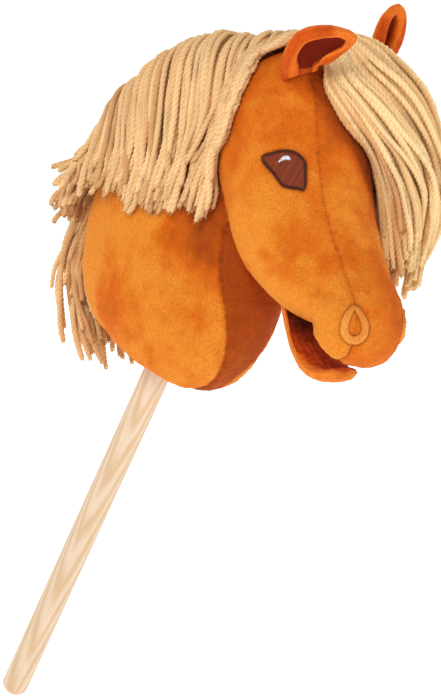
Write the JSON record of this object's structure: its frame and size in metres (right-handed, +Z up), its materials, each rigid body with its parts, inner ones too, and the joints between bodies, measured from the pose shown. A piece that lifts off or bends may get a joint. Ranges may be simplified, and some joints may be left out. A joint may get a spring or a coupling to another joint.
{
  "type": "hobby horse",
  "caption": "Stuffed plush horse head and neck with yarn mane, forelock and soft ears, fixed on a round wooden riding stick.",
  "frame": {"origin": "centre of the stick's flat lower end", "axes": "+Z up along the stick, -Y the way the nose points, +X the horse's left side"},
  "size_m": [0.1901, 0.3822, 0.7464],
  "materials": {
    "stick": "plain sanded round stick, clear matt",
    "sleeve": "hidden sleeve",
    "stuffing": "polyester fibre filling",
    "plush": "short-pile velour plush",
    "ear_lining": "short-pile velour plush",
    "mouth_lining": "short-pile velour plush",
    "eye_thread": "dense embroidery thread",
    "outline_thread": "satin-stitch thread",
    "glint_thread": "dense embroidery thread",
    "tape": "woven cotton tape",
    "yarn": "plied wool-like yarn"
  },
  "bodies": {
    "horse": {"stick": "stick", "stick_sleeve": "sleeve", "neck_stuffing": "stuffing", "head_stuffing": "stuffing", "lower_lip_stuffing": "stuffing", "neck_base": "plush", "neck_side_right": "plush", "neck_side_left": "plush", "throat_gusset": "plush", "head_side_right": "plush", "head_side_left": "plush", "face_gusset": "plush", "lower_lip_cover": "plush", "lower_lip_lining": "mouth_lining", "mouth_roof_lining": "mouth_lining", "right_eye_patch": "eye_thread", "left_eye_patch": "eye_thread", "right_eye_outline": "outline_thread", "left_eye_outline": "outline_thread", "right_eye_glint": "glint_thread", "left_eye_glint": "glint_thread", "right_nostril_roll": "plush", "left_nostril_roll": "plush", "right_nostril_patch": "plush", "left_nostril_patch": "plush", "mane_tape": "tape", "mane_right": "yarn", "mane_left": "yarn", "forelock": "yarn"},
    "right_ear_leaf": {"right_ear": "plush", "right_ear_lining": "ear_lining"},
    "left_ear_leaf": {"left_ear": "plush", "left_ear_lining": "ear_lining"}
  },
  "joints": [
    {"name": "right_ear_flop", "type": "hinge", "parent": "horse", "child": "right_ear_leaf", "pos_m": [-0.04081, -0.03934, 0.67598], "axis": [0.7792, -0.3311, 0.5322], "range_deg": [-45, 4], "stiffness_Nm_per_rad": 0.06},
    {"name": "left_ear_flop", "type": "hinge", "parent": "horse", "child": "left_ear_leaf", "pos_m": [0.04081, -0.03934, 0.67598], "axis": [-0.7792, -0.3311, 0.5322], "range_deg": [-18, 10], "stiffness_Nm_per_rad": 0.06}
  ]
}
